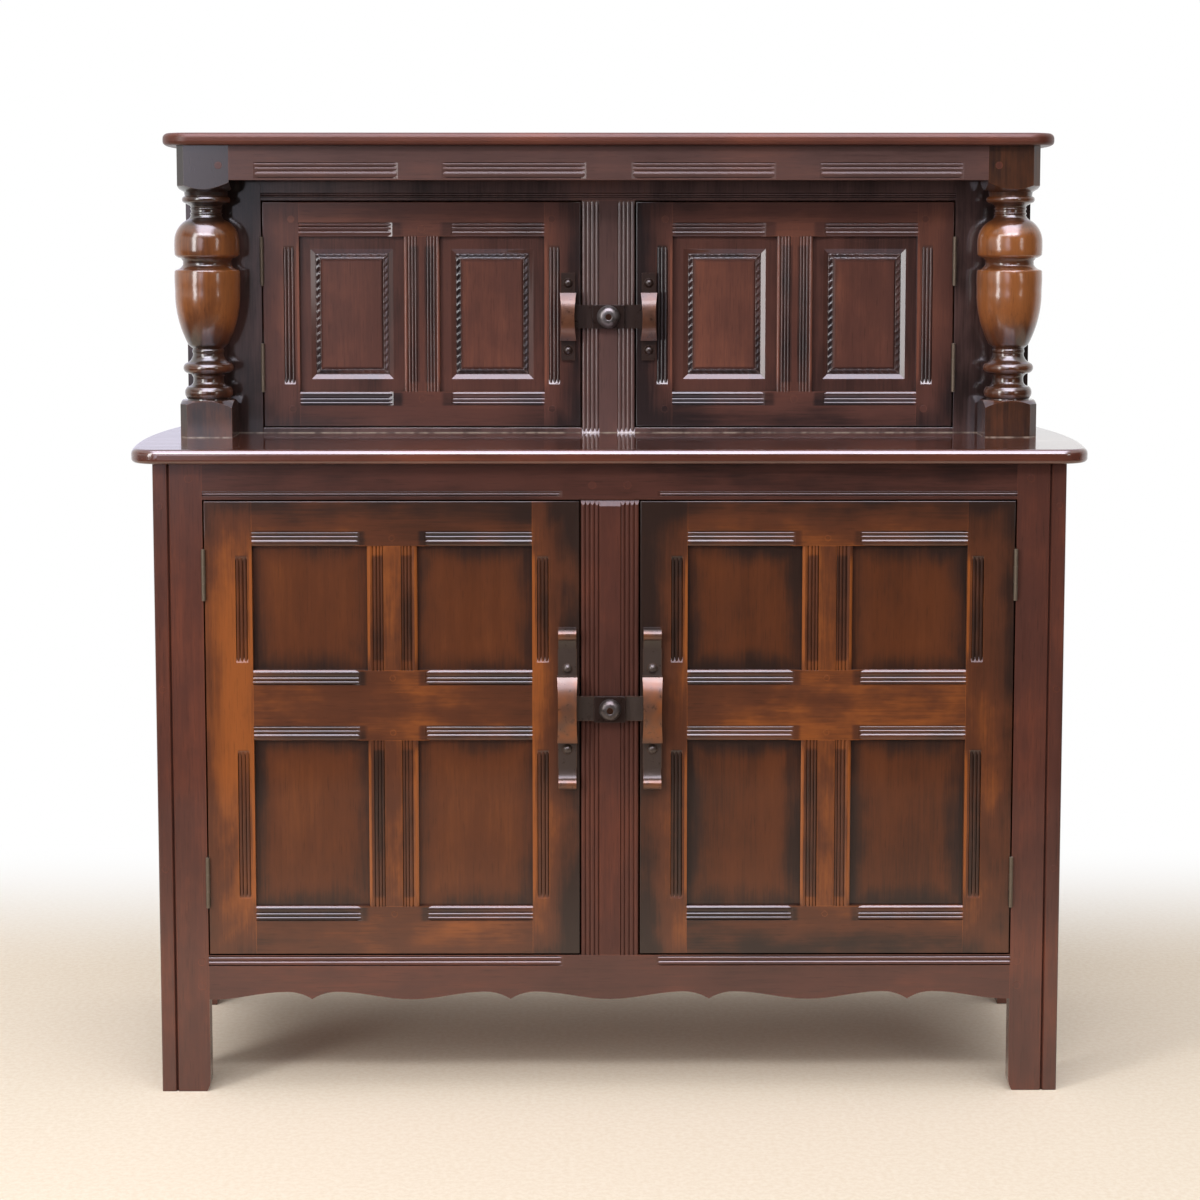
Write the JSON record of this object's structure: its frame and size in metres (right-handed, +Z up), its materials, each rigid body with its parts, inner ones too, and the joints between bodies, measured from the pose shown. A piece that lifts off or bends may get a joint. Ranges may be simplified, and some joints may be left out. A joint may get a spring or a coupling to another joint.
{
  "type": "court cupboard",
  "caption": "Oak court cupboard: a panelled base with hinged doors, and a set-back upper cabinet with hinged doors between turned posts that carry the top.",
  "frame": {"origin": "centre of the overall footprint, at floor level", "axes": "+Z up; -Y towards the viewer, out of the doors; +X to the right as seen from the front"},
  "size_m": [1.226, 0.4564, 1.224],
  "materials": {
    "oak_frame": "dark oak stain under a polished finish, worn lighter in the middle of each face",
    "oak_doors": "dark oak stain under a polished finish, rubbed to golden brown on the flats",
    "oak_panels": "dark oak stain under a polished finish, darker along the edges",
    "oak_posts": "turned oak, rubbed to golden brown on the swellings",
    "oak_boards": "glossy polished dark oak",
    "oak_pegs": "stained oak, end grain",
    "inner_boards": "plain stained oak, unpolished",
    "back_boards": "plain stained board, unpolished",
    "iron": "wrought iron with a dark brown patina, worn to a coppery tone on the grips",
    "hinge_steel": "dulled steel"
  },
  "bodies": {
    "carcase": {"apron_rail": "oak_frame", "base_back": "back_boards", "base_floor": "inner_boards", "base_muntin": "oak_frame", "base_shelf": "inner_boards", "base_top_rail": "oak_frame", "cabinet_back": "back_boards", "cabinet_ends": "oak_frame", "cabinet_muntin": "oak_frame", "cabinet_sills": "oak_frame", "cabinet_stile_left": "oak_frame", "cabinet_stile_right": "oak_frame", "cabinet_top_rail": "oak_frame", "end_panels": "oak_panels", "end_rails_left": "oak_frame", "end_rails_right": "oak_frame", "end_stiles_left": "oak_frame", "end_stiles_right": "oak_frame", "frame_pegs": "oak_pegs", "frieze_rail": "oak_frame", "front_leg_left": "oak_frame", "front_leg_right": "oak_frame", "hinge_frame_leaves": "hinge_steel", "hinge_pins": "hinge_steel", "latch_pivots": "iron", "middle_board": "oak_boards", "post_left": "oak_posts", "post_right": "oak_posts", "shelf_bearers": "inner_boards", "top_board": "oak_boards"},
    "upper_left_door": {"upper_left_door_handle": "iron", "upper_left_door_hinge_leaves": "hinge_steel", "upper_left_door_muntins": "oak_doors", "upper_left_door_panels": "oak_panels", "upper_left_door_pegs": "oak_pegs", "upper_left_door_rails": "oak_doors", "upper_left_door_stiles": "oak_doors"},
    "upper_right_door": {"upper_right_door_handle": "iron", "upper_right_door_hinge_leaves": "hinge_steel", "upper_right_door_muntins": "oak_doors", "upper_right_door_panels": "oak_panels", "upper_right_door_pegs": "oak_pegs", "upper_right_door_rails": "oak_doors", "upper_right_door_stiles": "oak_doors"},
    "lower_left_door": {"lower_left_door_handle": "iron", "lower_left_door_hinge_leaves": "hinge_steel", "lower_left_door_muntins": "oak_doors", "lower_left_door_panels": "oak_panels", "lower_left_door_pegs": "oak_pegs", "lower_left_door_rails": "oak_doors", "lower_left_door_stiles": "oak_doors"},
    "lower_right_door": {"lower_right_door_handle": "iron", "lower_right_door_hinge_leaves": "hinge_steel", "lower_right_door_muntins": "oak_doors", "lower_right_door_panels": "oak_panels", "lower_right_door_pegs": "oak_pegs", "lower_right_door_rails": "oak_doors", "lower_right_door_stiles": "oak_doors"},
    "upper_latch": {"upper_latch_turn": "iron"},
    "lower_latch": {"lower_latch_turn": "iron"}
  },
  "joints": [
    {"name": "upper_left_door_hinge", "type": "hinge", "parent": "carcase", "child": "upper_left_door", "pos_m": [-0.4636, 0.0454, 0.98525], "axis": [0, 0, -1], "range_deg": [0, 100]},
    {"name": "upper_right_door_hinge", "type": "hinge", "parent": "carcase", "child": "upper_right_door", "pos_m": [0.4636, 0.0454, 0.98525], "axis": [0, 0, 1], "range_deg": [0, 100]},
    {"name": "lower_left_door_hinge", "type": "hinge", "parent": "carcase", "child": "lower_left_door", "pos_m": [-0.5101, -0.2046, 0.47], "axis": [0, 0, -1], "range_deg": [0, 110]},
    {"name": "lower_right_door_hinge", "type": "hinge", "parent": "carcase", "child": "lower_right_door", "pos_m": [0.5101, -0.2046, 0.47], "axis": [0, 0, 1], "range_deg": [0, 110]},
    {"name": "upper_latch_pivot", "type": "hinge", "parent": "carcase", "child": "upper_latch", "pos_m": [0, 0.0482, 0.9825], "axis": [0, 1, 0], "range_deg": [-90, 90]},
    {"name": "lower_latch_pivot", "type": "hinge", "parent": "carcase", "child": "lower_latch", "pos_m": [0, -0.2018, 0.497], "axis": [0, 1, 0], "range_deg": [-90, 90]}
  ]
}
